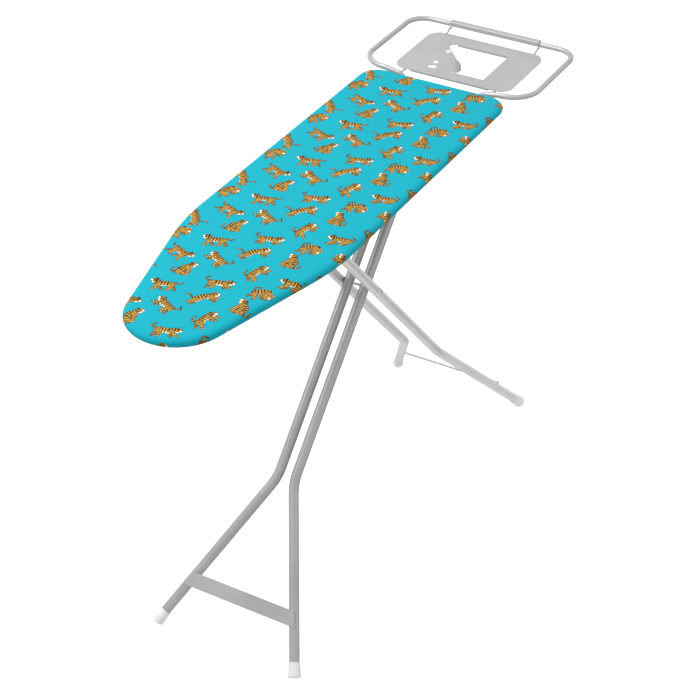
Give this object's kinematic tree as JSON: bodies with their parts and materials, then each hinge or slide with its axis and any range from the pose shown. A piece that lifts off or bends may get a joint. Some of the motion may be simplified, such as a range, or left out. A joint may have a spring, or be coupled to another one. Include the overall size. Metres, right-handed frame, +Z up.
{
  "type": "ironing board",
  "caption": "Folding ironing board with crossed tubular legs, a padded printed cover, a release lever and a rear iron rest with a wire-carried plate.",
  "frame": {"origin": "on the floor, under the middle of the whole length and width", "axes": "+X along the board towards the iron rest, +Y to the left of that, +Z up"},
  "size_m": [1.3865, 0.418, 0.913],
  "materials": {
    "cover": "printed cotton, matt",
    "foam": "soft foam, matt",
    "deck": "perforated sheet, satin lacquer",
    "zinc": "zinc-plated sheet and wire",
    "front_steel": "silver-grey gloss powder coat",
    "rear_steel": "light silver-grey gloss powder coat",
    "rest_steel": "pale grey satin powder coat",
    "cap_white": "smooth off-white plastic",
    "nylon": "grey moulded nylon"
  },
  "bodies": {
    "board": {"cover": "cover", "foam_pad": "foam", "deck_panel": "deck", "hinge_channel": "zinc", "rack_channel_front": "zinc", "rack_channel_rear": "zinc", "rest_channel": "zinc", "hinge_block_left": "nylon", "hinge_block_right": "nylon", "block_screws": "zinc", "rack_left": "zinc", "rack_right": "zinc", "rack_rivets": "zinc", "rest_clamp_left": "zinc", "rest_clamp_right": "zinc", "clamp_screws": "zinc", "lever_bracket": "zinc", "lever_pin": "zinc", "lever_spring": "zinc", "rest_loop": "rest_steel", "rest_front_bar": "rest_steel", "rest_wire_left": "rest_steel", "rest_wire_right": "rest_steel", "rest_plate": "rest_steel", "plate_pads": "cap_white", "heat_strip": "rest_steel"},
    "lever": {"release_lever": "zinc", "keeper_bar": "zinc", "lever_grip": "nylon"},
    "front_legs": {"front_leg_left": "front_steel", "front_leg_right": "front_steel", "front_foot_cap_left": "cap_white", "front_foot_cap_right": "cap_white", "front_crossbar": "front_steel", "front_hinge_tube": "front_steel", "front_head_plate": "front_steel", "hinge_end_caps": "cap_white", "front_top_plugs": "cap_white", "pivot_rod": "zinc", "pivot_washers": "zinc", "pivot_push_nuts": "cap_white"},
    "rear_legs": {"rear_leg_left": "rear_steel", "rear_leg_right": "rear_steel", "rear_foot_cap_left": "cap_white", "rear_foot_cap_right": "cap_white", "rear_tie_rod": "rear_steel", "rear_top_plugs": "cap_white", "slider_lug_left": "rear_steel", "slider_lug_right": "rear_steel", "slider_rod": "zinc", "slider_bushes": "nylon", "slider_clips": "nylon"}
  },
  "joints": [
    {"name": "front_leg_fold", "type": "hinge", "parent": "board", "child": "front_legs", "pos_m": [0.28936, 0, 0.876], "axis": [0, 1, 0], "range_deg": [0, 46.06]},
    {"name": "rear_leg_fold", "type": "hinge", "parent": "front_legs", "child": "rear_legs", "pos_m": [0.04785, 0, 0.59439], "axis": [0, 1, 0], "range_deg": [-94.96, 0]},
    {"name": "lever_squeeze", "type": "hinge", "parent": "board", "child": "lever", "pos_m": [-0.23225, 0.098, 0.875], "axis": [1, 0, 0], "range_deg": [0, 10], "stiffness_Nm_per_rad": 1, "springref_deg": -17.19}
  ],
  "couplings": [
    {"joint": "rear_leg_fold", "follows": "front_leg_fold", "ratio": -2.0614}
  ]
}
